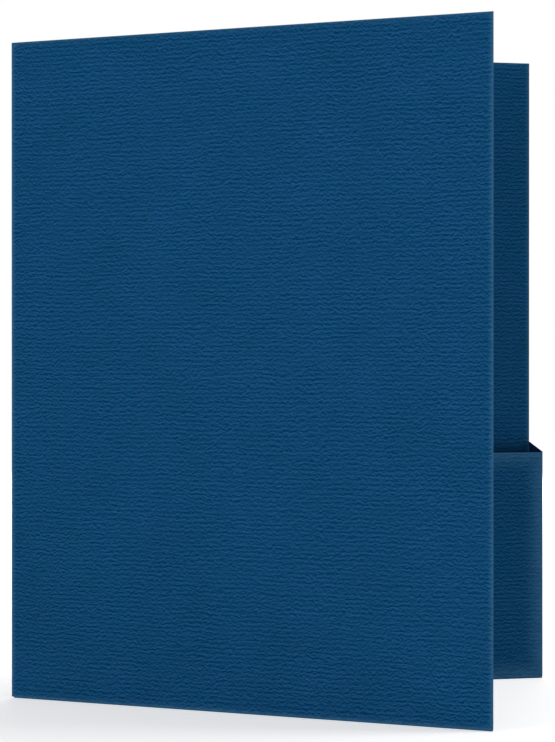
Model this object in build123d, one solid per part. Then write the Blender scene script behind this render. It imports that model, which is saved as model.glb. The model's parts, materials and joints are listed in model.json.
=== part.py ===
from build123d import *

import os
from math import cos, radians, sin, tan

# A two pocket folder of embossed paperboard, standing partly open like a book.
# The real folder is one die-cut sheet, creased, folded and glued. Here each flat panel and each fold
# between two panels is a solid of its own, cut apart along the creases.
# The pocket on the back cover is boxed: a bottom wall and a side wall hold its face away from the cover.
# The pocket on the front cover is flat: its face is folded straight back on to the cover.
# All sizes are in millimetres. Heights are measured up from the surface that the folder stands on.

# The sheet
board = 0.45
cover_width = 241.3
cover_height = 298.45
spine_width = 25.4

# The two hinge creases, each a raised bead on the inner side of the fold
bead_radius = 0.4
bead_seat = 0.05
bead_end_trim = 0.5
crease_clearance = 0.03
panel_gap = 0.1
spine_lift = 0.5

# Both pockets
pocket_height = 109.3
pocket_taper = 3.0
corner_relief = 0.3

# The boxed pocket on the back cover
box_margin = 3.0
box_depth = 12.0
box_fold_radius = 0.5
side_splay = 2.8
side_rise = 5.0

# The flat pocket on the front cover
flat_margin = 0.6
flat_inset = 0.5
flap_gap = 0.3

# The glued flap that holds each pocket to its cover
flap_width = 19.0
flap_notch = 1.0
flap_drop = 12.0
glue_thickness = 0.1
glue_border = 3.0

# How far each hinge crease stands open from its closed right angle
back_opening = 44.0
front_opening = 2.0
closed_angle = 90.0
full_fold = 180.0

# Sizes that follow
bead_height = bead_radius - bead_seat
spine_inner_y = bead_radius + crease_clearance - bead_height
box_fold_outer = box_fold_radius + board
flat_pocket_gap = glue_thickness + board + flap_gap
hem_outer = flat_pocket_gap / 2 + board
flap_hem_outer = flap_gap / 2 + board


def heading(angle):
    """Unit direction in a section, from an angle in degrees."""
    return Vector(cos(radians(angle)), sin(radians(angle)))


def inward(direction):
    """Direction from the outside of the board to its inside, to the right of the way it runs."""
    return Vector(direction.Y, -direction.X)


def fold_section(start, direction, turn, outer_radius):
    """Section of a fold: the board turns right by so many degrees from a point on its outside."""
    centre = start + inward(direction) * outer_radius
    spokes = [(start - centre).rotate(Axis.Z, -turn * share) for share in (0, 0.5, 1)]
    inner_share = (outer_radius - board) / outer_radius
    outer = [centre + spoke for spoke in spokes]
    inner = [centre + spoke * inner_share for spoke in reversed(spokes)]
    return make_face(
        [
            ThreePointArc(*outer),
            Line(outer[-1], inner[0]),
            ThreePointArc(*inner),
            Line(inner[-1], outer[0]),
        ]
    )


def outline(*points):
    """Flat face inside straight edges."""
    return make_face(Polyline(*points, close=True))


def upright_panel(face, outer_y, thickness=board):
    """Panel parallel to the covers, drawn from the front, with its far side at outer_y."""
    return extrude(Plane.XZ.offset(-outer_y) * face, thickness)


def standing_piece(face, low, high):
    """Piece drawn from above and carried up from low to high."""
    return extrude(Plane.XY.offset(low) * face, high - low)


def lengthwise_piece(face, left, right):
    """Piece drawn from the side and carried along the cover from left to right."""
    return extrude(Plane.YZ.offset(left) * face, right - left)


def make_cover(foot):
    """Cover from its hinge crease to its free edge, standing on the fold under its pocket."""
    face = outline((0, foot), (cover_width, foot), (cover_width, cover_height), (0, cover_height))
    return upright_panel(face, board)


def make_crease():
    """Raised bead on the inner side of a hinge crease, with a flat that sits on the cover."""
    bead = Pos(0, -bead_height) * Circle(bead_radius)
    beyond_cover = Pos(0, bead_radius) * Rectangle(2 * bead_radius, 2 * bead_radius)
    return standing_piece(bead - beyond_cover, bead_end_trim, cover_height - bead_end_trim)


def make_spine():
    """Flat spine between the two hinge creases, clear of both beads."""
    left = panel_gap - spine_width
    right = -panel_gap
    face = outline((left, spine_lift), (right, spine_lift), (right, cover_height), (left, cover_height))
    return upright_panel(face, spine_inner_y + board)


def make_face_panel(start, end, foot, outer_y):
    """Front panel of a pocket, cut back a little towards the top beside the spine."""
    face = outline((start, foot), (end, foot), (end, pocket_height), (start + pocket_taper, pocket_height))
    return upright_panel(face, outer_y + board)


def make_glued_flap(end, foot):
    """Flap against a cover's inner face and the glue that holds it, by name, all below the pocket's mouth."""
    start = cover_width - flap_width
    top = pocket_height - flap_notch
    inner_top = top - flap_drop
    flap = outline((start, foot), (end, foot), (end, top), (start, inner_top))
    glue_start = start + glue_border
    glue_end = end - glue_border
    glue_foot = foot + glue_border
    glue_top = inner_top - glue_border
    glue = outline((glue_start, glue_foot), (glue_end, glue_foot), (glue_end, glue_top), (glue_start, glue_top))
    return {
        "glue_flap": upright_panel(flap, -glue_thickness),
        "glue_line": upright_panel(glue, 0, glue_thickness),
    }


def make_boxed_pocket():
    """Pieces of the boxed pocket, by name."""
    # Seen from above, the board runs along the flap, out along the side wall and back along the face
    flap_corner = Vector(cover_width, -glue_thickness)
    face_corner = Vector(cover_width + side_splay, -box_depth)
    along_flap = heading(0)
    along_wall = (face_corner - flap_corner).normalized()
    flap_turn = along_flap.get_angle(along_wall)
    face_turn = full_fold - flap_turn
    flap_reach = box_fold_outer * tan(radians(flap_turn / 2))
    face_reach = box_fold_outer * tan(radians(face_turn / 2))
    flap_end = flap_corner - along_flap * flap_reach
    wall_start = flap_corner + along_wall * flap_reach
    wall_end = face_corner - along_wall * face_reach
    wall_inset = inward(along_wall) * board
    face_end = face_corner.X - face_reach
    side_edge = (wall_end + inward(along_wall) * box_fold_outer).X + box_fold_outer

    # Seen from the side, it runs down the cover, forward under the pocket and up the face
    down = heading(-90)
    forward = heading(180)
    cover_foot = Vector(board, box_fold_outer)
    rear_edge = board - box_fold_outer
    front_edge = box_fold_outer - box_depth

    floor = outline(
        (box_margin, rear_edge),
        (cover_width, rear_edge),
        (face_end, front_edge),
        (box_margin, front_edge),
    )
    bottom_section = fold_section(cover_foot, down, closed_angle, box_fold_outer)
    front_section = fold_section(Vector(front_edge, 0), forward, closed_angle, box_fold_outer)

    # The side wall's top edge falls from its rear fold to the top of the pocket's face
    foot = box_fold_outer + corner_relief
    top = pocket_height + side_rise
    side_sections = {
        "flap_fold": fold_section(flap_end, along_flap, flap_turn, box_fold_outer),
        "side_wall": outline(wall_start, wall_end, wall_end + wall_inset, wall_start + wall_inset),
        "side_fold": fold_section(wall_end, along_wall, face_turn, box_fold_outer),
    }
    above_slope = lengthwise_piece(
        outline(
            (flap_corner.Y, top),
            (face_corner.Y, pocket_height),
            (face_corner.Y, cover_height),
            (flap_corner.Y, cover_height),
        ),
        0,
        cover_width + box_depth,
    )
    pocket = {
        "bottom_fold": lengthwise_piece(bottom_section, box_margin, cover_width),
        "bottom_wall": standing_piece(floor, 0, board),
        "front_fold": lengthwise_piece(front_section, box_margin, side_edge),
        "face": make_face_panel(box_margin, face_end, box_fold_outer, -box_depth),
    }
    for name, section in side_sections.items():
        pocket[name] = standing_piece(section, foot, top) - above_slope
    return pocket | make_glued_flap(flap_end.X, foot)


def make_flat_pocket():
    """Pieces of the flat pocket, by name."""
    foot = hem_outer + corner_relief
    side_edge = cover_width - flat_inset
    fold_start = side_edge - flap_hem_outer
    bottom_section = fold_section(Vector(board, hem_outer), heading(-90), full_fold, hem_outer)
    side_section = fold_section(Vector(fold_start, -glue_thickness), heading(0), full_fold, flap_hem_outer)
    pocket = {
        "bottom_fold": lengthwise_piece(bottom_section, flat_margin, side_edge),
        "face": make_face_panel(flat_margin, fold_start, hem_outer, -flat_pocket_gap - board),
        "side_fold": standing_piece(side_section, foot, pocket_height),
    }
    return pocket | make_glued_flap(fold_start, foot)


def turn_about(axis, angle):
    """Turn about a vertical hinge axis, in degrees."""
    return Pos(axis.X, axis.Y) * Rot(0, 0, angle) * Pos(-axis.X, -axis.Y)


# The folder is drawn lying open in one plane, with its inner side towards -Y, and then folded up.
# The front half is drawn on the right as the back half is, and mirrored about the middle of the spine.
back_axis = Vector(0, -bead_height)
front_axis_flat = Vector(-spine_width, -bead_height)
spine_middle = Plane.YZ.offset(-spine_width / 2)
fold_back = turn_about(back_axis, closed_angle - back_opening)
fold_front = turn_about(front_axis_flat, closed_angle - front_opening)

back_half = {"back_cover": make_cover(box_fold_outer), "back_crease": make_crease()}
back_half |= {f"right_pocket_{name}": piece for name, piece in make_boxed_pocket().items()}
front_half = {"front_cover": make_cover(hem_outer), "front_crease": make_crease()}
front_half |= {f"left_pocket_{name}": piece for name, piece in make_flat_pocket().items()}

pieces = back_half | {"spine": fold_back * make_spine()}
for name, piece in front_half.items():
    pieces[name] = fold_back * fold_front * mirror(piece, about=spine_middle)

# The origin is on the surface that the folder stands on, under the middle of the part's box
box = Compound(list(pieces.values())).bounding_box()
box_middle = box.center()
to_origin = Pos(-box_middle.X, -box_middle.Y, -box.min.Z)

os.makedirs("parts", exist_ok=True)
for name, piece in pieces.items():
    export_step(to_origin * piece, f"parts/{name}.step")

# Places of the hinge axes and of the back cover in the part's own frame
front_axis = back_axis - heading(closed_angle - back_opening) * spine_width
for name, axis in {"back": back_axis, "front": front_axis}.items():
    print(f"{name} hinge axis: x {axis.X - box_middle.X:.4f}, y {axis.Y - box_middle.Y:.4f}")
print(f"back cover's crease: x {-box_middle.X:.4f}, its inner face: y {-box_middle.Y:.4f}")
print(f"{len(pieces)} pieces in a box of {box.size.X:.2f} x {box.size.Y:.2f} x {box.size.Z:.2f}")
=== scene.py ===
"""Looks of a two pocket folder of embossed navy paperboard, standing partly open like a book.

Every board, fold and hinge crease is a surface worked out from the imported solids, so it sits where they are.
All sizes are in metres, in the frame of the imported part, unless a name ends in _mm.
"""

import json
import logging
import math
from dataclasses import dataclass, field
from enum import Enum
from functools import cache

import bpy
import numpy as np
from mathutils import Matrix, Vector


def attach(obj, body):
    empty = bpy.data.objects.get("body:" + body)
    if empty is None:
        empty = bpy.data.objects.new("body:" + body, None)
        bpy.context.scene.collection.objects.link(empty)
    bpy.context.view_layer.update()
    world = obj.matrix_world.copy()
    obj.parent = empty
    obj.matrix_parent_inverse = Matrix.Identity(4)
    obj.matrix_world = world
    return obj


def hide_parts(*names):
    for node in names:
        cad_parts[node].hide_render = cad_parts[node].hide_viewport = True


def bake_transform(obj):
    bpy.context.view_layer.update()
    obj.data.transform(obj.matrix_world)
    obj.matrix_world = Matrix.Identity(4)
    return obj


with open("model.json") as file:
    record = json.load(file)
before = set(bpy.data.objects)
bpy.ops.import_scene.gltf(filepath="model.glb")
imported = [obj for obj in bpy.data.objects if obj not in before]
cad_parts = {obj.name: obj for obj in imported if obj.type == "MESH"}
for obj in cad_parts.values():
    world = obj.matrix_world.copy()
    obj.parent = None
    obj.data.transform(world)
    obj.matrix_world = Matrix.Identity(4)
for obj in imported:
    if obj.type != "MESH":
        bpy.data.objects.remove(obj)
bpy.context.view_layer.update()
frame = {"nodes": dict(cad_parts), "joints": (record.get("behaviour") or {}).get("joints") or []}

log = logging.getLogger("two_pocket_folder")

Array = np.ndarray
Colour = tuple[float, float, float, float]
Point = tuple[float, float, float]
Span = tuple[float, float]
Node = bpy.types.Node
Socket = bpy.types.NodeSocket
Inputs = dict[str | int, object]

MM = 0.001
FULL_TURN = 2 * math.pi
LEVEL_DEG = 90.0
UP = (0.0, 0.0, 1.0)
DOWN = (0.0, 0.0, -1.0)
RIGHTWARD = (1.0, 0.0, 0.0)
WHITE = (1.0, 1.0, 1.0, 1.0)
NONE_TO_ALL = (0.0, 1.0)
NOISE_MIDDLE = 0.5
DISPLAY_FULL = 255
STRAIGHT_END = 0.04045
STRAIGHT_FALL = 12.92
CURVE_LIFT = 0.055
CURVE_POWER = 2.4
CORNER_DECIMALS = 7


class Body(Enum):
    """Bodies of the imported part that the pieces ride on."""

    BACK = "back_half"
    SPINE = "spine_panel"
    FRONT = "front_half"


class Slot(Enum):
    """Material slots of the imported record."""

    COVER = "cover_board"
    POCKET = "pocket_board"
    CREASE = "creased_board"
    GLUE = "glue"


class Edge(Enum):
    """Edges of a panel, in the order that its outline runs when seen from its outer side."""

    FOOT = 0
    RIGHT = 1
    TOP = 2
    LEFT = 3


class Mark(Enum):
    """Values that a board's mesh carries for its finish, one per vertex."""

    LINE = "ridge_line"
    STRENGTH = "ridge_strength"
    GAP = "edge_gap_mm"
    # painted shade: darkens the board's colour just above a pocket's mouth
    SHADE = "pocket_shade"


def linear_colour(*channels: float) -> Colour:
    """Turn a display colour into the light values that a shader takes.

    The display's curve is straight near black and a power above that.

    Args:
        *channels: Red, green and blue, from 0 to 255.

    Returns:
        The linear colour, with full alpha.
    """
    share = np.array(channels) / DISPLAY_FULL
    curved = ((share + CURVE_LIFT) / (1 + CURVE_LIFT)) ** CURVE_POWER
    light = np.where(share <= STRAIGHT_END, share / STRAIGHT_FALL, curved)
    return (*map(float, light), 1.0)


def unit(vector: Array) -> Array:
    """The vector at length one."""
    return vector / np.linalg.norm(vector)


def smoothstep(share: Array) -> Array:
    """Ease from 0 to 1, level at both ends."""
    return share * share * (3 - 2 * share)


class Wiring:
    """Adds shader nodes to one tree and joins them."""

    def __init__(self, tree: bpy.types.NodeTree) -> None:
        """Start from an empty tree."""
        self.tree = tree
        tree.nodes.clear()

    def add(self, kind: str, inputs: Inputs | None = None, **settings: object) -> Node:
        """Add a node.

        Args:
            kind: The node's type name.
            inputs: Values, or sockets to join, by the name or place of the input.
            **settings: Properties of the node itself.

        Returns:
            The new node.
        """
        node = self.tree.nodes.new(kind)
        for name, value in settings.items():
            setattr(node, name, value)
        for key, value in (inputs or {}).items():
            if isinstance(value, Socket):
                self.tree.links.new(value, node.inputs[key])
            else:
                node.inputs[key].default_value = value
        return node

    def math(self, operation: str, *terms: object, clamp: bool = False) -> Socket:
        """Result of a Math node on values or sockets."""
        inputs = dict(enumerate(terms))
        return self.add("ShaderNodeMath", inputs, operation=operation, use_clamp=clamp).outputs[0]

    def remap(self, value: Socket, source: Span, target: Span) -> Socket:
        """Value carried from one range to another, held inside it."""
        inputs = dict(enumerate((value, *source, *target)))
        return self.add("ShaderNodeMapRange", inputs, clamp=True).outputs[0]

    def mix(self, share: object, first: object, second: object, blend: str = "MIX") -> Socket:
        """Colour blended from two colours, which have their own places among a Mix node's sockets."""
        inputs = {0: share, 6: first, 7: second}
        return self.add("ShaderNodeMix", inputs, data_type="RGBA", blend_type=blend).outputs[2]

    def noise(self, cell_mm: Point, detail: float, lift_mm: float = 0.0) -> Socket:
        """Noise in the piece's own space.

        Args:
            cell_mm: Size of its cells along X, Y and Z.
            detail: How many layers of finer noise it has.
            lift_mm: How much higher up than the surface it is read.

        Returns:
            Its values, about one half.
        """
        place = self.add("ShaderNodeTexCoord").outputs["Object"]
        density = tuple(1 / (size * MM) for size in cell_mm)
        lift = (0.0, 0.0, lift_mm / cell_mm[2])
        scaled = self.add("ShaderNodeMapping", {"Vector": place, "Scale": density, "Location": lift})
        inputs = {"Vector": scaled.outputs[0], "Scale": 1.0, "Detail": detail}
        return self.add("ShaderNodeTexNoise", inputs).outputs[0]

    def bump(self, height: Socket, depth_mm: float) -> Socket:
        """Normal of a surface raised by a height times a depth."""
        inputs = {"Height": height, "Distance": depth_mm * MM, "Strength": 1.0}
        return self.add("ShaderNodeBump", inputs).outputs[0]

    def mark(self, mark: Mark) -> Socket:
        """Value that the mesh carries under a mark's name."""
        return self.add("ShaderNodeAttribute", attribute_name=mark.value).outputs["Fac"]


class GroupWiring(Wiring):
    """Wiring of a shader node group that takes in values and puts out values."""

    socket_type = "NodeSocketFloat"

    def __init__(self, name: str, inputs: dict[str, float]) -> None:
        """Start a group.

        Args:
            name: The group's name.
            inputs: Default values of its inputs, by name.
        """
        super().__init__(bpy.data.node_groups.new(name, "ShaderNodeTree"))
        for label, value in inputs.items():
            socket = self.tree.interface.new_socket(label, in_out="INPUT", socket_type=self.socket_type)
            socket.default_value = value
        self.given = self.add("NodeGroupInput").outputs

    def put_out(self, results: dict[str, Socket]) -> bpy.types.NodeTree:
        """Finish the group.

        Args:
            results: The sockets that it puts out, by name.

        Returns:
            The group's tree.
        """
        for label in results:
            self.tree.interface.new_socket(label, in_out="OUTPUT", socket_type=self.socket_type)
        self.add("NodeGroupOutput", results)
        return self.tree


def new_material(name: str) -> tuple[bpy.types.Material, Wiring]:
    """Start a material.

    Args:
        name: The material's name.

    Returns:
        The material and the wiring of its empty tree.
    """
    made = bpy.data.materials.new(name)
    made.use_nodes = True
    return made, Wiring(made.node_tree)


@dataclass(frozen=True)
class FeltGrain:
    """Embossed felt lines and ripples, the fibres on them and the board's slow change of tone.

    The lines come from the count that the mesh carries, bent by noise: a ridge is highest where the bent
    count is a whole number, and the valley beside it is deepest half way to the next. The ripples are the
    difference of one noise a little higher up and a little lower down. Without both the ridge value is that
    of flat board. The ridge value also sets the board's colour, partly as its own paler ridges and darker
    valleys and partly as painted shade and highlight of the relief lit from above. The cast is where the dye
    leans from green to violet.
    """

    bend_cell_mm: Point = (2.2, 2.2, 2.5)
    break_cell_mm: Point = (2.4, 2.4, 1.7)
    break_noise: Span = (0.3, 0.65)
    break_swing: Span = (0.116, 0.422)
    ripple_cell_mm: Point = (1.3, 1.3, 0.66)
    ripple_reach_mm: float = 0.32
    ripple_gain: float = 2.05
    flat_ridge: float = 0.5
    fibre_cell_mm: Point = (0.55, 0.55, 0.4)
    fibre_relief: float = 0.3
    tone_cell_mm: Point = (30.0, 30.0, 24.0)
    cast_cell_mm: Point = (10.0, 10.0, 8.0)
    plain_detail: float = 1.0
    fine_detail: float = 3.0

    @cache
    def group(self) -> bpy.types.NodeTree:
        """Build the grain's node group.

        Returns:
            The group, made once.
        """
        wiring = GroupWiring("embossed_felt", {"Line": 0.0, "Strength": 1.0, "Ragged": 1.0})
        bend = wiring.noise(self.bend_cell_mm, self.plain_detail)
        bend = wiring.math("SUBTRACT", bend, NOISE_MIDDLE)
        bend = wiring.math("MULTIPLY", bend, wiring.given["Ragged"])
        count = wiring.math("ADD", wiring.given["Line"], bend)
        swing = wiring.math("COSINE", wiring.math("MULTIPLY", count, FULL_TURN))
        broken = wiring.noise(self.break_cell_mm, self.plain_detail)
        broken = wiring.remap(broken, self.break_noise, self.break_swing)
        swing = wiring.math("MULTIPLY", swing, broken)
        # the ripples, a difference up and down, also shade the colour: painted shade and highlight as if lit
        # from above
        above = wiring.noise(self.ripple_cell_mm, self.plain_detail, self.ripple_reach_mm)
        below = wiring.noise(self.ripple_cell_mm, self.plain_detail, -self.ripple_reach_mm)
        ripple = wiring.math("MULTIPLY", wiring.math("SUBTRACT", above, below), self.ripple_gain)
        relief = wiring.math("MULTIPLY", wiring.math("ADD", swing, ripple), wiring.given["Strength"])
        ridge = wiring.math("ADD", relief, self.flat_ridge)
        fibre = wiring.noise(self.fibre_cell_mm, self.fine_detail)
        results = {
            "Ridge": ridge,
            "Fibre": fibre,
            "Tone": wiring.noise(self.tone_cell_mm, self.fine_detail),
            "Cast": wiring.noise(self.cast_cell_mm, self.plain_detail),
            "Height": wiring.math("ADD", ridge, wiring.math("MULTIPLY", fibre, self.fibre_relief)),
        }
        return wiring.put_out(results)


@dataclass(frozen=True)
class EdgeWearAndHighlight:
    """Lighter edges, partly rubbed wear and partly a painted highlight: a mask that fades with the distance
    from the nearest edge and varies along it.
    """

    patch_cell_mm: Point = (6.0, 6.0, 6.0)
    patch_detail: float = 2.0
    patch_noise: Span = (0.3, 0.7)
    patch_share: Span = (0.7, 1.0)

    @cache
    def group(self) -> bpy.types.NodeTree:
        """Build the mask's node group.

        Returns:
            The group, made once.
        """
        wiring = GroupWiring("worn_and_highlit_edges", {"Gap": 0.0, "Reach": 1.0, "Fall": 2.0})
        away = wiring.math("DIVIDE", wiring.given["Gap"], wiring.given["Reach"])
        near = wiring.math("SUBTRACT", 1.0, away, clamp=True)
        patchy = wiring.noise(self.patch_cell_mm, self.patch_detail)
        patchy = wiring.remap(patchy, self.patch_noise, self.patch_share)
        wear_and_highlight = wiring.math("MULTIPLY", wiring.math("POWER", near, wiring.given["Fall"]), patchy)
        return wiring.put_out({"WearAndHighlight": wear_and_highlight})


FELT_GRAIN = FeltGrain()
EDGE_WEAR_AND_HIGHLIGHT = EdgeWearAndHighlight()


@dataclass(frozen=True)
class Finish:
    """A finish that one Principled shader gives."""

    name: str

    def looks(self, wiring: Wiring) -> Inputs:
        """Inputs of the shader, wired up in the material's tree."""
        raise NotImplementedError

    @cache
    def material(self) -> bpy.types.Material:
        """Build the finish's material.

        Returns:
            The material, made once.
        """
        made, wiring = new_material(self.name)
        shader = wiring.add("ShaderNodeBsdfPrincipled", self.looks(wiring))
        wiring.add("ShaderNodeOutputMaterial", {"Surface": shader.outputs[0]})
        return made


@dataclass(frozen=True)
class BoardFinish(Finish):
    """Dyed board, embossed with felt lines, lighter along its edges by wear and a painted highlight, and with
    painted shade just above a pocket's mouth.
    """

    wear_and_highlight_reach_mm: float
    wear_and_highlight_fall: float
    wear_and_highlight_share: float
    # ridge and valley colours: partly the board's own, partly painted highlight and shade of the relief lit
    # from above
    ridge: Colour = linear_colour(30, 82, 123)
    valley: Colour = linear_colour(0, 53, 91)
    # colour added along the edges: partly rubbed wear, partly a painted highlight
    worn_and_highlit: Colour = (0.027, 0.064, 0.087, 1.0)
    folds_worn_and_highlit: bool = False
    sheltered: float = 0.0
    # colour multiplier where the painted shade above a pocket's mouth is full
    painted_shade_multiplier: float = 0.54
    green_cast: Colour = (0.9, 1.0, 0.97, 1.0)
    violet_cast: Colour = (1.1, 1.0, 1.03, 1.0)
    cast_noise: Span = (0.3, 0.7)
    tone_noise: Span = (0.3, 0.7)
    tone_shade: Span = (0.965, 1.035)
    speckle_noise: Span = (0.25, 0.75)
    speckle_shade: Span = (0.94, 1.06)
    ragged: float = 0.9
    line_depth_mm: float = 0.06
    rough_noise: Span = (0.2, 0.8)
    roughness: Span = (0.8, 0.95)
    specular: float = 0.0

    def dyed(self, wiring: Wiring, felt: Node) -> Socket:
        """Colour the board apart from its lighter edges.

        It goes from the valleys' colour to the ridges', partly the board's own and partly painted shade and
        highlight of the relief, times the slow tone, the fibres' speckle, the dye's cast and a painted shade
        above a pocket's mouth.

        Args:
            wiring: Wiring of the board's material.
            felt: The felt grain's node in it.

        Returns:
            The colour.
        """
        colour = wiring.mix(felt.outputs["Ridge"], self.valley, self.ridge)
        tone = wiring.remap(felt.outputs["Tone"], self.tone_noise, self.tone_shade)
        speckle = wiring.remap(felt.outputs["Fibre"], self.speckle_noise, self.speckle_shade)
        # painted shade above a pocket's mouth, darkening the colour there
        painted_shade = wiring.remap(wiring.mark(Mark.SHADE), NONE_TO_ALL, (1.0, self.painted_shade_multiplier))
        shade = wiring.math("MULTIPLY", wiring.math("MULTIPLY", tone, speckle), painted_shade)
        colour = wiring.mix(1.0, colour, shade, "MULTIPLY")
        lean = wiring.remap(felt.outputs["Cast"], self.cast_noise, NONE_TO_ALL)
        cast = wiring.mix(lean, self.green_cast, self.violet_cast)
        return wiring.mix(1.0, colour, cast, "MULTIPLY")

    def looks(self, wiring: Wiring) -> Inputs:
        """Wire up the board's grain, its colour, and its edges' wear and painted highlight.

        Args:
            wiring: Wiring of the board's material.

        Returns:
            Inputs of its shader.
        """
        line = wiring.mark(Mark.LINE)
        lines = {"Line": line, "Strength": wiring.mark(Mark.STRENGTH), "Ragged": self.ragged}
        felt = wiring.add("ShaderNodeGroup", lines, node_tree=FELT_GRAIN.group())
        edges = {"Gap": wiring.mark(Mark.GAP), "Reach": self.wear_and_highlight_reach_mm, "Fall": self.wear_and_highlight_fall}
        edge_lightening = wiring.add("ShaderNodeGroup", edges, node_tree=EDGE_WEAR_AND_HIGHLIGHT.group())
        # lighter edges, partly rubbed wear and partly a painted highlight
        wear_and_highlight = wiring.math("MULTIPLY", edge_lightening.outputs["WearAndHighlight"], self.wear_and_highlight_share)
        return {
            "Base Color": wiring.mix(wear_and_highlight, self.dyed(wiring, felt), self.worn_and_highlit, "ADD"),
            "Roughness": wiring.remap(felt.outputs["Fibre"], self.rough_noise, self.roughness),
            "Specular IOR Level": self.specular,
            "Normal": wiring.bump(felt.outputs["Height"], self.line_depth_mm),
        }


@dataclass(frozen=True)
class GlueFinish(Finish):
    """Dried paper glue, pale, slightly glossy and unevenly spread."""

    thin: Colour
    thick: Colour
    spread_cell_mm: Point = (2.5, 2.5, 2.5)
    spread_detail: float = 3.0
    spread_noise: Span = (0.3, 0.7)
    roughness: Span = (0.35, 0.6)
    depth_mm: float = 0.05

    def looks(self, wiring: Wiring) -> Inputs:
        """Wire up the glue's uneven spread.

        Args:
            wiring: Wiring of the glue's material.

        Returns:
            Inputs of its shader.
        """
        spread = wiring.noise(self.spread_cell_mm, self.spread_detail)
        return {
            "Base Color": wiring.mix(spread, self.thin, self.thick),
            "Roughness": wiring.remap(spread, self.spread_noise, self.roughness),
            "Normal": wiring.bump(spread, self.depth_mm),
        }


# Lighter edges of these finishes are partly rubbed wear and partly a painted highlight, broadest on the
# pocket.
COVER_FINISH = BoardFinish(
    name="navy_cover_board",
    wear_and_highlight_reach_mm=2.6,
    wear_and_highlight_fall=1.6,
    wear_and_highlight_share=0.9,
    folds_worn_and_highlit=True,
    sheltered=0.45 * MM,
)
POCKET_FINISH = BoardFinish(
    name="navy_pocket_board",
    wear_and_highlight_reach_mm=10.0,
    wear_and_highlight_fall=1.5,
    wear_and_highlight_share=1.0,
    folds_worn_and_highlit=True,
)
INNER_FINISH = BoardFinish(name="navy_inner_board", wear_and_highlight_reach_mm=0.4, wear_and_highlight_fall=1.6, wear_and_highlight_share=0.2)
# Creased board is a little lighter than the cover: partly whitening along the crease, partly a painted
# highlight on the fold.
CREASE_FINISH = BoardFinish(
    name="navy_creased_board",
    wear_and_highlight_reach_mm=1.0,
    wear_and_highlight_fall=1.8,
    wear_and_highlight_share=0.7,
    ridge=linear_colour(34, 86, 127),
    valley=linear_colour(6, 60, 98),
)
GLUE_FINISH = GlueFinish(
    name="dried_glue",
    thin=linear_colour(206, 197, 172),
    thick=linear_colour(228, 222, 204),
)


def smooth_field(
    rng: np.random.Generator, rows: Array, columns: Array, row_cell: float, column_cell: float
) -> Array:
    """Smooth random field: normal values on a lattice, eased from one lattice point to the next.

    Args:
        rng: Seeded source of the lattice's values.
        rows: Places of the rows, from 0 up.
        columns: Places of the columns, from 0 up.
        row_cell: Lattice step along the rows' direction.
        column_cell: Lattice step along the columns' direction.

    Returns:
        The field at every row and column.
    """
    down = rows / row_cell
    across = columns / column_cell
    lattice = rng.standard_normal((int(down.max()) + 2, int(across.max()) + 2))
    row = down.astype(int)
    column = across.astype(int)
    row_share = smoothstep(down - row)[:, None]
    column_share = smoothstep(across - column)[None, :]
    low = lattice[row]
    high = lattice[row + 1]
    along_low = low[:, column] * (1 - column_share) + low[:, column + 1] * column_share
    along_high = high[:, column] * (1 - column_share) + high[:, column + 1] * column_share
    return along_low * (1 - row_share) + along_high * row_share


@dataclass(frozen=True)
class Sway:
    """A slow wander of the felt lines: its size, and the lines and the run that it takes to change."""

    size: float
    lines: float
    run: float


@dataclass(frozen=True)
class Emboss:
    """The felt lines pressed into both sides of the board, and the rows and columns that follow them.

    A row's place is counted in lines up from the board's foot, and a column's is its distance from the left.
    """

    pitch: float = 2.03 * MM
    depth: float = 0.08 * MM
    line_rows: int = 3
    fewest_lines: int = 2
    column_step: float = 2.4 * MM
    edge_column: float = 0.35 * MM
    fewest_columns: int = 3
    sways: tuple[Sway, ...] = (Sway(0.32 * MM, 9.0, 16 * MM), Sway(0.18 * MM, 5.0, 7 * MM))
    fade_lines: float = 2.0
    strength_lines: float = 1.0
    strength_run: float = 8 * MM
    strength_middle: float = 0.85
    strength_spread: float = 0.15
    strength_least: float = 0.4

    def rows(self, lines: int) -> Array:
        """Rows of a face with so many lines: the foot, a few even rows for each line, and the top."""
        inside = (np.arange(self.line_rows * lines) + 0.5) / self.line_rows
        return np.r_[0.0, inside, lines]

    def columns(self, width: float) -> Array:
        """Columns of a face so wide: its two sides, and even steps from just inside the one to the other."""
        count = max(self.fewest_columns, round(width / self.column_step))
        return np.r_[0.0, np.linspace(self.edge_column, width - self.edge_column, count), width]

    def sink(self, rows: Array) -> Array:
        """Depth of each row at full strength: a line's middle row is in its valley, and the others aren't."""
        in_valley = np.arange(len(rows)) % self.line_rows == 1 + self.line_rows // 2
        return self.depth * in_valley

    def sway(self, rng: np.random.Generator, rows: Array, columns: Array) -> Array:
        """Distance that every row sways at every column, the sum of all sways."""
        return sum(one.size * smooth_field(rng, rows, columns, one.lines, one.run) for one in self.sways)

    def strength(self, rng: np.random.Generator, rows: Array, columns: Array) -> Array:
        """Vary the lines' strength along one face: a smooth field about a middle, nothing at the outline.

        Args:
            rng: Seeded source of the field.
            rows: Places of the rows.
            columns: Places of the columns.

        Returns:
            The strength at every row and column.
        """
        varied = smooth_field(rng, rows, columns, self.strength_lines, self.strength_run)
        strength = self.strength_middle + self.strength_spread * varied
        strength = strength.clip(self.strength_least, 1.0)
        strength[[0, -1], :] = 0
        strength[:, [0, -1]] = 0
        return strength


FELT = Emboss()


def node_points(name: str) -> Array:
    """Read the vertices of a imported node.

    Args:
        name: The node's name.

    Returns:
        One row of three places for each vertex.
    """
    mesh = frame["nodes"][name].data
    points = np.empty((len(mesh.vertices), 3))
    mesh.vertices.foreach_get("co", points.ravel())
    return points


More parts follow.
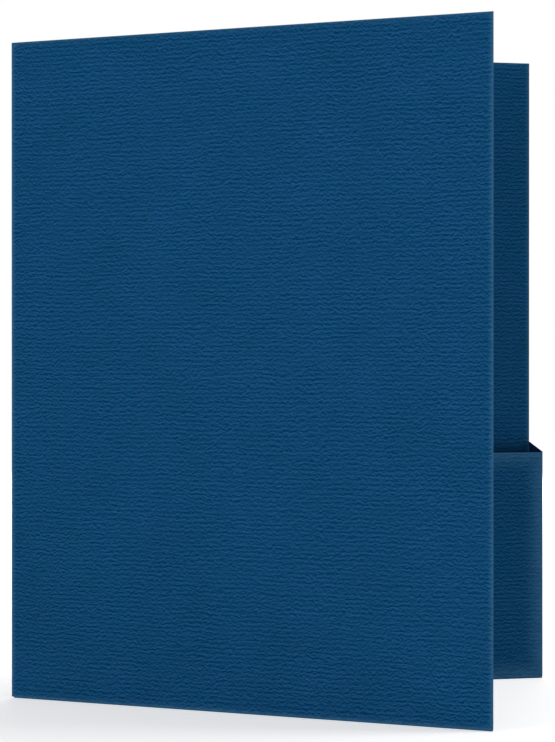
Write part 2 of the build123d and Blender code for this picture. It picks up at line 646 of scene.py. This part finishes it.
def grid_quads(index: Array) -> Array:
    """Four-sided faces of a grid of vertex numbers, facing the way that columns and then rows turn."""
    corners = (index[:-1, :-1], index[:-1, 1:], index[1:, 1:], index[1:, :-1])
    return np.stack(corners, axis=-1).reshape(-1, 4)


def ring_of(grid: Array) -> Array:
    """Outline of a grid: along the foot, up the right side, back along the top and down the left side."""
    return np.concatenate([grid[0, :-1], grid[:-1, -1], grid[-1, :0:-1], grid[:0:-1, 0]])


def quad_object(name: str, points: Array, quads: Array, sharp: Array) -> bpy.types.Object:
    """Make an object of four-sided faces, shaded smooth apart from its sharp lines.

    Args:
        name: The object's name.
        points: Its vertices.
        quads: Vertex numbers of its faces.
        sharp: Whether each vertex is on a sharp line.

    Returns:
        The object, at the origin.
    """
    mesh = bpy.data.meshes.new(name)
    mesh.vertices.add(len(points))
    mesh.vertices.foreach_set("co", points.astype(np.float32).ravel())
    mesh.loops.add(quads.size)
    mesh.loops.foreach_set("vertex_index", quads.astype(np.int32).ravel())
    mesh.polygons.add(len(quads))
    mesh.polygons.foreach_set("loop_start", np.arange(0, quads.size, 4, dtype=np.int32))
    mesh.update(calc_edges=True)
    mesh.polygons.foreach_set("use_smooth", np.ones(len(quads), dtype=bool))
    ends = np.empty(len(mesh.edges) * 2, dtype=np.int32)
    mesh.edges.foreach_get("vertices", ends)
    mesh.edges.foreach_set("use_edge_sharp", sharp[ends].reshape(-1, 2).all(axis=1))
    mesh.validate()
    made = bpy.data.objects.new(name, mesh)
    bpy.context.scene.collection.objects.link(made)
    return made


@dataclass
class Piece:
    """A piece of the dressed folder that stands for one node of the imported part."""

    node: str
    body: Body
    slot: Slot
    finish: Finish
    made: bpy.types.Object = field(init=False)

    def build(self) -> None:
        """Make the piece's mesh."""
        raise NotImplementedError

    def dress(self) -> None:
        """Give the piece its finish, join it to its body and hide the node that it stands for."""
        self.made.data.materials.append(self.finish.material())
        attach(self.made, self.body.value)
        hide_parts(self.node)


@dataclass(frozen=True)
class FaceGrid:
    """Rows and columns that a panel's two faces share.

    The places across the face and up it go from 0 to 1. The lines' strengths are on the outer face and then
    on the inner one.
    """

    rows: Array
    across: Array
    up: Array
    strengths: Array


@dataclass
class Panel(Piece):
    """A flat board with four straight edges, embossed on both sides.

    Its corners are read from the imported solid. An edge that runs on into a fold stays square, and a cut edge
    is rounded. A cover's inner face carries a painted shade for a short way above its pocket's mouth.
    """

    outward: Point
    up: Point = UP
    seed: int = 0
    mouth: float | None = None
    # how far above the mouth the painted shade reaches, and how steeply it fades
    mouth_reach: float = 9 * MM
    mouth_fall: float = 2.0
    cut_radius: float = 0.12 * MM
    cut_steps: int = 3
    creased: set[Edge] = field(default_factory=set, init=False)
    normal: Array = field(init=False)
    right: Array = field(init=False)
    upward: Array = field(init=False)
    thickness: float = field(init=False)
    corners: Array = field(init=False)
    grid: FaceGrid = field(init=False)

    def __post_init__(self) -> None:
        """Read the solid's largest face that looks outward, and the corners of that face."""
        mesh = frame["nodes"][self.node].data
        points = node_points(self.node)
        areas = np.empty(len(mesh.polygons))
        normals = np.empty((len(mesh.polygons), 3))
        mesh.polygons.foreach_get("area", areas)
        mesh.polygons.foreach_get("normal", normals.ravel())
        facing = normals @ np.array(self.outward) > 0
        self.normal = unit(normals[np.argmax(areas * facing)])
        self.right = unit(np.cross(self.up, self.normal))
        self.upward = np.cross(self.normal, self.right)
        level = points @ self.normal
        self.thickness = float(level.max() - level.min())
        face = np.unique(points[level > level.mean()].round(CORNER_DECIMALS), axis=0)
        face = face[np.argsort(face @ self.upward)]
        foot = sorted(face[:2], key=lambda corner: corner @ self.right)
        top = sorted(face[2:], key=lambda corner: -corner @ self.right)
        self.corners = np.array(foot + top)

    @property
    def width(self) -> float:
        """Mean of the foot's and the top's length."""
        lengths = np.linalg.norm(self.corners[[1, 2]] - self.corners[[0, 3]], axis=1)
        return float(lengths.mean())

    @property
    def height(self) -> float:
        """Mean of the two sides' length."""
        lengths = np.linalg.norm(self.corners[[3, 2]] - self.corners[[0, 1]], axis=1)
        return float(lengths.mean())

    def edge(self, which: Edge) -> Array:
        """Ends of an edge of the outer face, in the outline's order."""
        return self.corners[[which.value, (which.value + 1) % len(Edge)]]

    def inset_corners(self, share: float) -> Array:
        """Corners of the outer face with every cut edge moved inwards.

        Each edge's line is moved along its inward normal, and the corners are where the moved lines cross.

        Args:
            share: How much of the cut radius the edges move.

        Returns:
            The four corners.
        """
        flat = np.stack([self.corners @ self.right, self.corners @ self.upward], axis=1)
        run = np.roll(flat, -1, axis=0) - flat
        inward = np.stack([-run[:, 1], run[:, 0]], axis=1) / np.linalg.norm(run, axis=1)[:, None]
        shift = np.array([0.0 if edge in self.creased else share * self.cut_radius for edge in Edge])
        reach = np.sum(inward * flat, axis=1) + shift
        crossing = np.stack([np.roll(inward, 1, axis=0), inward], axis=1)
        reaches = np.stack([np.roll(reach, 1), reach], axis=1)
        meeting = np.linalg.solve(crossing, reaches[:, :, None])[:, :, 0]
        level = self.corners[0] @ self.normal
        return meeting[:, :1] * self.right + meeting[:, 1:] * self.upward + level * self.normal

    def spread(self, across: Array, up: Array, share: float) -> Array:
        """Find points on the outer face, blended in both directions from its inset corners.

        Args:
            across: Places across the face, from 0 to 1.
            up: Places up the face, from 0 to 1.
            share: How much of the cut radius its cut edges are moved inwards.

        Returns:
            The point at every place.
        """
        foot_left, foot_right, top_right, top_left = self.inset_corners(share)
        across = across[..., None]
        up = up[..., None]
        foot = foot_left * (1 - across) + foot_right * across
        top = top_left * (1 - across) + top_right * across
        return foot * (1 - up) + top * up

    def edge_gap(self) -> Array:
        """Measure the distance to the nearest edge that is lightened by wear and a painted highlight.

        Every cut edge is, and a fold is where the finish says so. The top and the folds lie sheltered from
        rubbing, so they count as a little further away than they are.

        Returns:
            The distance at every row and column.
        """
        gaps = {
            Edge.FOOT: self.grid.up * self.height,
            Edge.RIGHT: (1 - self.grid.across) * self.width,
            Edge.TOP: (1 - self.grid.up) * self.height,
            Edge.LEFT: self.grid.across * self.width,
        }
        worn_and_highlit = gaps if self.finish.folds_worn_and_highlit else gaps.keys() - self.creased
        shelter = {edge: self.finish.sheltered for edge in self.creased | {Edge.TOP}}
        return np.min([gaps[edge] + shelter.get(edge, 0.0) for edge in worn_and_highlit], axis=0)

    def lay_grid(self) -> None:
        """Lay rows along the felt lines and columns across them.

        The rows sway by a smooth field that dies away at the foot and the top, and none passes the next.
        """
        rng = np.random.default_rng(self.seed)
        lines = max(FELT.fewest_lines, round(self.height / FELT.pitch))
        rows = FELT.rows(lines)
        columns = FELT.columns(self.width)
        sway = FELT.sway(rng, rows, columns)
        fade = np.clip(np.minimum(rows, lines - rows) / FELT.fade_lines, 0, 1)[:, None]
        up = rows[:, None] / lines + sway * fade / self.height
        up = np.maximum.accumulate(up, axis=0).clip(0, 1)
        across = np.broadcast_to(columns / self.width, up.shape)
        outer = FELT.strength(rng, rows, columns)
        inner = FELT.strength(rng, rows, columns)
        self.grid = FaceGrid(rows, across, up, np.stack([outer, inner]))

    def faces(self) -> tuple[Array, Array]:
        """Sink the lines' valleys into both faces, each by its depth times its strength.

        Returns:
            Points of the outer face and of the inner one.
        """
        outer_sink, inner_sink = FELT.sink(self.grid.rows)[:, None] * self.grid.strengths
        flat = self.spread(self.grid.across, self.grid.up, 1.0)
        outer = flat - outer_sink[..., None] * self.normal
        inner = flat - (self.thickness - inner_sink)[..., None] * self.normal
        return outer, inner

    def cut_edge(self) -> Array:
        """Round the cut edge: a stack of outlines whose inset and level go round two quarter circles.

        Returns:
            Points of each outline between the outer face and the inner one.
        """
        quarter = np.linspace(0, FULL_TURN / 4, self.cut_steps)
        insets = 1 - np.sin(quarter)
        drops = self.cut_radius * (1 - np.cos(quarter))
        insets = np.concatenate([insets, insets[::-1]])[1:-1]
        drops = np.concatenate([drops, self.thickness - drops[::-1]])[1:-1]
        across = ring_of(self.grid.across)
        up = ring_of(self.grid.up)
        outlines = [self.spread(across, up, inset) for inset in insets]
        return np.stack(outlines) - drops[:, None, None] * self.normal

    def painted_mouth_shade(self, inner: Array) -> Array:
        """Share of painted shade on the inner face: full at the pocket's mouth, and less the higher it is
        above.
        """
        above = (inner[..., 2] - self.mouth) / self.mouth_reach
        return (1 - above.clip(0, 1)) ** self.mouth_fall

    def carry_marks(self, inner: Array) -> None:
        """Keep the finish's marks on the mesh, with nothing on the cut edge.

        Args:
            inner: Points of the inner face.
        """
        line = np.broadcast_to(self.grid.rows[:, None], self.grid.up.shape)
        gap_mm = self.edge_gap() / MM
        marks = {
            Mark.LINE: (line, line),
            Mark.STRENGTH: self.grid.strengths,
            Mark.GAP: (gap_mm, gap_mm),
        }
        if self.mouth is not None:
            # painted shade above the pocket's mouth, on the inner face only
            marks[Mark.SHADE] = (np.zeros(line.shape), self.painted_mouth_shade(inner))
        for mark, faces in marks.items():
            values = np.zeros(len(self.made.data.vertices), dtype=np.float32)
            values[:2 * line.size] = np.stack(faces).ravel()
            carried = self.made.data.attributes.new(mark.value, "FLOAT", "POINT")
            carried.data.foreach_set("value", values)

    def build(self) -> None:
        """Make the board: its outer face, its inner face, and the outlines of its cut edge between them."""
        self.lay_grid()
        outer, inner = self.faces()
        edge = self.cut_edge()
        points = np.concatenate([part.reshape(-1, 3) for part in (outer, inner, edge)])
        outer_index = np.arange(self.grid.up.size).reshape(self.grid.up.shape)
        inner_index = outer_index + outer_index.size
        edge_index = np.arange(2 * outer_index.size, len(points)).reshape(len(edge), -1)
        rings = np.vstack([ring_of(outer_index), edge_index, ring_of(inner_index)])
        rings = np.hstack([rings, rings[:, :1]])
        sides = [grid_quads(outer_index), grid_quads(inner_index)[:, ::-1], grid_quads(rings.T)]
        sharp = np.zeros(len(points), dtype=bool)
        sharp[rings[[0, -1]]] = True
        self.made = quad_object(f"{self.node}_board", points, np.concatenate(sides), sharp)
        self.carry_marks(inner)


def nearest_edges(first: Panel, second: Panel) -> tuple[Edge, Edge]:
    """Find the edges at which two panels come nearest, by the edges' middles.

    Args:
        first: The one panel.
        second: The other panel.

    Returns:
        An edge of the first panel and an edge of the second.
    """
    pairs = [(one, other) for one in Edge for other in Edge]
    between = [first.edge(one).mean(axis=0) - second.edge(other).mean(axis=0) for one, other in pairs]
    return pairs[np.argmin(np.linalg.norm(between, axis=1))]


@dataclass
class Strip(Piece):
    """A bent strip of board from an edge of one panel to the nearest edge of another."""

    first: Panel
    second: Panel
    arc_steps: int = 12
    station_step: float = 3 * MM
    fewest_stations: int = 4
    first_edge: Array = field(init=False)
    second_edge: Array = field(init=False)
    axis: Array = field(init=False)

    def __post_init__(self) -> None:
        """Find the ends of the two edges that the strip joins, and keep those edges square."""
        one, other = nearest_edges(self.first, self.second)
        self.first.creased.add(one)
        self.second.creased.add(other)
        self.first_edge = self.first.edge(one)
        self.second_edge = self.second.edge(other)
        self.axis = unit(self.first_edge[1] - self.first_edge[0])

    def square_to_axis(self, vector: Array) -> Array:
        """The part of each vector that is square to the strip's axis."""
        return vector - (vector @ self.axis)[..., None] * self.axis

    def section(self) -> tuple[Array, Array]:
        """Outer and inner line of the strip's section, from the first panel to the second."""
        raise NotImplementedError

    def ends(self) -> Array:
        """Lowest and highest place along the strip, beside its first panel and beside its second."""
        return np.array([np.sort(edge @ self.axis) for edge in (self.first_edge, self.second_edge)])

    def build(self) -> None:
        """Carry the section along the strip.

        Each line of the section runs between places that change evenly from the ends beside the first panel
        to the ends beside the second. The section goes out along its outer line and back along its inner one.
        """
        outer, inner = self.section()
        share = np.linspace(0, 1, len(outer))[:, None]
        first, second = self.ends()
        between = first * (1 - share) + second * share
        lows, highs = np.concatenate([between, between[::-1]]).T
        loop = self.square_to_axis(np.concatenate([outer, inner[::-1]]))
        count = max(self.fewest_stations, round((highs - lows).max() / self.station_step))
        stations = np.linspace(0, 1, count)[:, None]
        place = lows + stations * (highs - lows)
        points = loop + place[..., None] * self.axis

        index = np.arange(place.size).reshape(place.shape)
        around = np.hstack([index, index[:, :1]])
        half = len(outer)
        caps = [np.stack([row[:half], row[:half - 1:-1]]) for row in (index[0], index[-1])]
        quads = np.concatenate([grid_quads(around), grid_quads(caps[0])[:, ::-1], grid_quads(caps[1])])
        if np.dot(np.cross(outer[1] - outer[0], self.axis), self.first.normal) < 0:
            quads = quads[:, ::-1]
        sharp = np.zeros(place.shape, dtype=bool)
        sharp[[0, -1]] = True
        sharp[:, [0, half - 1, half, -1]] = True
        self.made = quad_object(f"{self.node}_strip", points.reshape(-1, 3), quads, sharp.ravel())


@dataclass
class Fold(Strip):
    """A fixed fold: the board turns on a round from one panel's outer face to the next.

    Its lip is how far it may run on past the second panel's edge, and its lap is how far its foot is carried
    down on to the fold below it.
    """

    lip: float = math.inf
    lap: float = 0.0

    def section(self) -> tuple[Array, Array]:
        """Work out the round.

        The board leaves the first panel's edge at a tangent and turns about a centre behind it. The radius is
        the chord between the edges over twice the sine of half the turn.

        Returns:
            Points on the outer round and on the inner one.
        """
        start = self.first_edge[0]
        chord = self.square_to_axis(self.second_edge[0] - start)
        leaving = unit(np.cross(self.axis, self.first.normal))
        cosine = float(np.clip(self.first.normal @ self.second.normal, -1, 1))
        turn = math.acos(cosine)
        radius = np.linalg.norm(chord) / (2 * math.sin(turn / 2))
        angle = np.linspace(0, turn, self.arc_steps + 1)[:, None]
        spokes = self.first.normal * np.cos(angle) + leaving * np.sin(angle)
        centre = start - radius * self.first.normal
        return centre + radius * spokes, centre + (radius - self.first.thickness) * spokes

    def ends(self) -> Array:
        """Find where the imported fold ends, and close its corners.

        The fold's vertices within a quarter of the board's thickness of a panel's edge are those beside it.

        Returns:
            The lowest and highest place along it, beside its first panel and beside its second.
        """
        points = node_points(self.node)
        place = points @ self.axis
        beside = []
        for edge in (self.first_edge, self.second_edge):
            away = np.cross(points - edge[0], self.axis)
            near = place[np.linalg.norm(away, axis=1) < self.first.thickness / 4]
            beside.append((near.min(), near.max()))
        beside = np.array(beside)
        low, high = np.sort(self.second_edge @ self.axis)
        beside[1] = beside[1].clip(low - self.lip, high + self.lip)
        foot = 0 if self.axis[2] > 0 else 1
        beside[:, foot] -= self.lap * np.sign(self.axis[2])
        return beside


@dataclass
class HingeSkin(Strip):
    """The outside of a hinge crease, which bends about the hinge between a cover and the spine."""

    joint: str = field(kw_only=True)
    far_body: Body = Body.SPINE
    skin: float = 0.12 * MM
    weight_margin: float = 0.97

    def section(self) -> tuple[Array, Array]:
        """Work out the bend.

        It goes round the hinge axis from one panel's outer edge to the other's, at a distance that changes
        evenly from the one's to the other's, so it stays on that round at every opening of the hinge.

        Returns:
            Points on the outside of the skin and on its inside.
        """
        hinge = next(joint for joint in frame["joints"] if joint["name"] == self.joint)
        pivot = np.array(hinge["pos_m"])
        start = self.square_to_axis(self.first_edge[0] - pivot)
        finish = self.square_to_axis(self.second_edge[0] - pivot)
        side = unit(np.cross(self.axis, start))
        turn = math.atan2(finish @ side, finish @ unit(start))
        angle = np.linspace(0, turn, self.arc_steps + 1)[:, None]
        radius = np.linspace(np.linalg.norm(start), np.linalg.norm(finish), self.arc_steps + 1)[:, None]
        spokes = unit(start) * np.cos(angle) + side * np.sin(angle)
        return pivot + radius * spokes, pivot + (radius - self.skin) * spokes

    def dress(self) -> None:
        """Give the skin its finish and bake its place into its mesh."""
        self.made.data.materials.append(self.finish.material())
        inner = self.section()[1]
        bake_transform(self.made)


@dataclass
class KeptNode(Piece):
    """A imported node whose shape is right, which only gets a finish."""

    def build(self) -> None:
        """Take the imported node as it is."""
        self.made = frame["nodes"][self.node]

    def dress(self) -> None:
        """Give every material slot of the node its finish."""
        for slot in self.made.material_slots:
            slot.material = self.finish.material()


@dataclass
class Assembly:
    """A part of the folder: its pieces, built and dressed in order."""

    pieces: list[Piece] = field(default_factory=list, init=False)

    def build(self) -> None:
        """Make the meshes of all pieces."""
        for piece in self.pieces:
            piece.build()

    def dress(self) -> None:
        """Finish all pieces and report them."""
        for piece in self.pieces:
            piece.dress()
            log.info("%s: %d faces", piece.made.name, len(piece.made.data.polygons))


@dataclass
class CoverHalf(Assembly):
    """A cover with the raised bead of its hinge crease."""

    side: str
    body: Body
    outward: Point
    pocket: str
    seed: int
    cover: Panel = field(init=False)

    def __post_init__(self) -> None:
        """Lay out the cover and its bead."""
        node = f"{self.side}_cover"
        mouth = float(node_points(f"{self.pocket}_pocket_face")[:, 2].max())
        self.cover = Panel(
            node, self.body, Slot.COVER, COVER_FINISH, self.outward, seed=self.seed, mouth=mouth
        )
        bead = KeptNode(f"{self.side}_crease", self.body, Slot.CREASE, CREASE_FINISH)
        self.pieces = [self.cover, bead]


@dataclass
class Pocket(Assembly):
    """A pocket's panels, folds and glue on one cover."""

    side: str
    cover: Panel
    seed: int
    corner_lip: float = 0.3 * MM
    corner_lap: float = 0.3 * MM

    def panel(self, name: str, finish: BoardFinish, outward: Point, up: Point = UP) -> Panel:
        """Add a panel of pocket board, with a seed of its own.

        Args:
            name: The panel's name within the pocket.
            finish: Its finish.
            outward: The way that its outer face looks.
            up: The way from its foot to its top.

        Returns:
            The panel.
        """
        self.seed += 1
        node = f"{self.side}_pocket_{name}"
        made = Panel(node, self.cover.body, Slot.POCKET, finish, outward=outward, up=up, seed=self.seed)
        self.pieces.append(made)
        return made

    def fold(self, name: str, first: Panel, second: Panel, **corner: float) -> None:
        """Add a fold from one panel to the next, with its lip or lap at the corner."""
        node = f"{self.side}_pocket_{name}"
        self.pieces.append(Fold(node, self.cover.body, Slot.CREASE, CREASE_FINISH, first, second, **corner))

    def glue(self) -> None:
        """Add the glue between the flap and the cover."""
        self.pieces.append(KeptNode(f"{self.side}_pocket_glue_line", self.cover.body, Slot.GLUE, GLUE_FINISH))


@dataclass
class BoxedPocket(Pocket):
    """The pocket on the back cover, held open by a bottom wall and a side wall."""

    def __post_init__(self) -> None:
        """Lay out the panels from the cover forwards, then the side, then the folds."""
        rearward = tuple(self.cover.normal)
        floor = self.panel("bottom_wall", INNER_FINISH, DOWN, up=rearward)
        face = self.panel("face", POCKET_FINISH, tuple(-self.cover.normal))
        wall = self.panel("side_wall", INNER_FINISH, RIGHTWARD)
        flap = self.panel("glue_flap", INNER_FINISH, rearward)
        self.fold("bottom_fold", self.cover, floor)
        self.fold("front_fold", floor, face, lip=self.corner_lip)
        self.fold("side_fold", wall, face, lap=self.corner_lap)
        self.fold("flap_fold", flap, wall)
        self.glue()


@dataclass
class FlatPocket(Pocket):
    """The pocket on the front cover, folded flat against it."""

    def __post_init__(self) -> None:
        """Lay out the face and the flap, then the folds."""
        face = self.panel("face", POCKET_FINISH, tuple(-self.cover.normal))
        flap = self.panel("glue_flap", INNER_FINISH, tuple(self.cover.normal))
        self.fold("bottom_fold", self.cover, face, lip=self.corner_lip)
        self.fold("side_fold", flap, face, lap=self.corner_lap)
        self.glue()


@dataclass
class Spine(Assembly):
    """The spine and the skins of the two hinge creases that join it to the covers."""

    back: Panel
    front: Panel
    outward: Point
    seed: int

    def __post_init__(self) -> None:
        """Lay out the spine and its two skins."""
        board = Panel("spine", Body.SPINE, Slot.COVER, COVER_FINISH, outward=self.outward, seed=self.seed)
        self.pieces = [board]
        for crease, cover in {"back_crease": self.back, "front_crease": self.front}.items():
            joint = f"{crease}_hinge"
            skin = HingeSkin(crease, cover.body, Slot.CREASE, CREASE_FINISH, cover, board, joint=joint)
            self.pieces.append(skin)


@dataclass(frozen=True)
class SoftLamp:
    """A large square studio lamp aimed at a point."""

    name: str
    place: Point
    aim: Point
    size: float
    watts: float

    def put_up(self) -> None:
        """Add the lamp to the scene."""
        lamp = bpy.data.lights.new(self.name, "AREA")
        lamp.shape = "SQUARE"
        lamp.size = self.size
        lamp.energy = self.watts
        made = bpy.data.objects.new(self.name, lamp)
        made.location = self.place
        way = made.location - Vector(self.aim)
        made.rotation_mode = "QUATERNION"
        made.rotation_quaternion = way.to_track_quat("Z", "Y")
        bpy.context.scene.collection.objects.link(made)


@dataclass(frozen=True)
class Studio:
    """White floor and surround, soft lamps and the camera."""

    floor_half: float = 4.0
    floor_drop: float = 0.02 * MM
    floor_colour: Colour = (0.9, 0.9, 0.9, 1.0)
    floor_lifts: Span = (0.5, 0.76)
    floor_lift_reach: Span = (0.4, 2.4)
    ambient: float = 0.3
    lamps: tuple[SoftLamp, ...] = (
        SoftLamp("key_lamp", (-2.6, -1.3, 0.32), (0.0, 0.0, 0.15), 0.55, 35.5),
        SoftLamp("fill_lamp", (0.15, -1.7, 0.16), (0.1, 0.0, 0.12), 0.6, 7.0),
        SoftLamp("side_lamp", (2.0, -0.4, 1.6), (0.0, 0.0, 0.15), 1.2, 26.0),
        SoftLamp("rear_lamp", (0.8, 2.2, 0.9), (0.0, 0.0, 0.15), 1.2, 25.0),
    )
    camera_place: Point = (-0.3855, -1.2089, 0.1548)
    camera_heading_deg: float = 16.476
    camera_tilt_deg: float = -0.256
    camera_lens_mm: float = 139.02

    def seen_mask(self, wiring: Wiring) -> Socket:
        """Tell a look from a ray of light.

        Args:
            wiring: Wiring of the material or the world that is looked at.

        Returns:
            One where the camera, a reflection or a see-through surface looks, and nothing elsewhere.
        """
        path = wiring.add("ShaderNodeLightPath")
        mask = wiring.math("MAXIMUM", path.outputs["Is Camera Ray"], path.outputs["Is Glossy Ray"])
        return wiring.math("MAXIMUM", mask, path.outputs["Is Transmission Ray"])

    def lay_floor(self) -> None:
        """Lay a pale floor that shows white and keeps the folder's shadow.

        What it shows is lifted less near the folder, where the lamps light it, than far away.
        """
        half = self.floor_half
        corners = [(-half, -half), (half, -half), (half, half), (-half, half)]
        points = np.array([(*corner, -self.floor_drop) for corner in corners])
        floor = quad_object("floor", points, np.array([[0, 1, 2, 3]]), np.ones(len(corners), dtype=bool))
        pale, wiring = new_material("pale_floor")
        lit = wiring.add("ShaderNodeBsdfDiffuse", {"Color": self.floor_colour})
        place = wiring.add("ShaderNodeTexCoord").outputs["Object"]
        away = wiring.add("ShaderNodeVectorMath", {0: place}, operation="LENGTH").outputs["Value"]
        lift = wiring.remap(away, self.floor_lift_reach, self.floor_lifts)
        strength = wiring.math("MULTIPLY", self.seen_mask(wiring), lift)
        glow = wiring.add("ShaderNodeEmission", {"Strength": strength})
        both = wiring.add("ShaderNodeAddShader", {0: lit.outputs[0], 1: glow.outputs[0]})
        wiring.add("ShaderNodeOutputMaterial", {"Surface": both.outputs[0]})
        floor.data.materials.append(pale)

    def light(self) -> None:
        """Surround the folder with even light, seen as white, and put up the lamps."""
        world = bpy.data.worlds.new("white_surround")
        world.use_nodes = True
        wiring = Wiring(world.node_tree)
        strength = wiring.remap(self.seen_mask(wiring), NONE_TO_ALL, (self.ambient, 1.0))
        even = wiring.add("ShaderNodeBackground", {"Color": WHITE, "Strength": strength})
        wiring.add("ShaderNodeOutputWorld", {"Surface": even.outputs[0]})
        bpy.context.scene.world = world
        for lamp in self.lamps:
            lamp.put_up()

    def aim_camera(self) -> None:
        """Stand the camera where the photograph was taken from."""
        lens = bpy.data.cameras.new("camera")
        lens.lens = self.camera_lens_mm
        camera = bpy.data.objects.new("camera", lens)
        camera.location = self.camera_place
        upright = math.radians(LEVEL_DEG + self.camera_tilt_deg)
        camera.rotation_euler = (upright, 0.0, -math.radians(self.camera_heading_deg))
        bpy.context.scene.collection.objects.link(camera)
        bpy.context.scene.camera = camera


def main() -> None:
    """Build and dress the folder part by part, then set up the studio."""
    logging.basicConfig(level=logging.INFO, format="%(name)s: %(message)s")
    back = CoverHalf("back", Body.BACK, outward=(0.0, 1.0, 0.0), pocket="right", seed=11)
    front = CoverHalf("front", Body.FRONT, outward=(-1.0, -1.0, 0.0), pocket="left", seed=23)
    spine = Spine(back.cover, front.cover, outward=(-1.0, 1.0, 0.0), seed=37)
    boxed = BoxedPocket("right", back.cover, seed=50)
    flat = FlatPocket("left", front.cover, seed=70)
    assemblies = (back, front, spine, boxed, flat)
    for assembly in assemblies:
        assembly.build()
    for assembly in assemblies:
        assembly.dress()
    studio = Studio()
    studio.lay_floor()
    studio.light()
    studio.aim_camera()
    bpy.context.scene.view_settings.view_transform = "Standard"


if __name__ == "__main__":
    main()
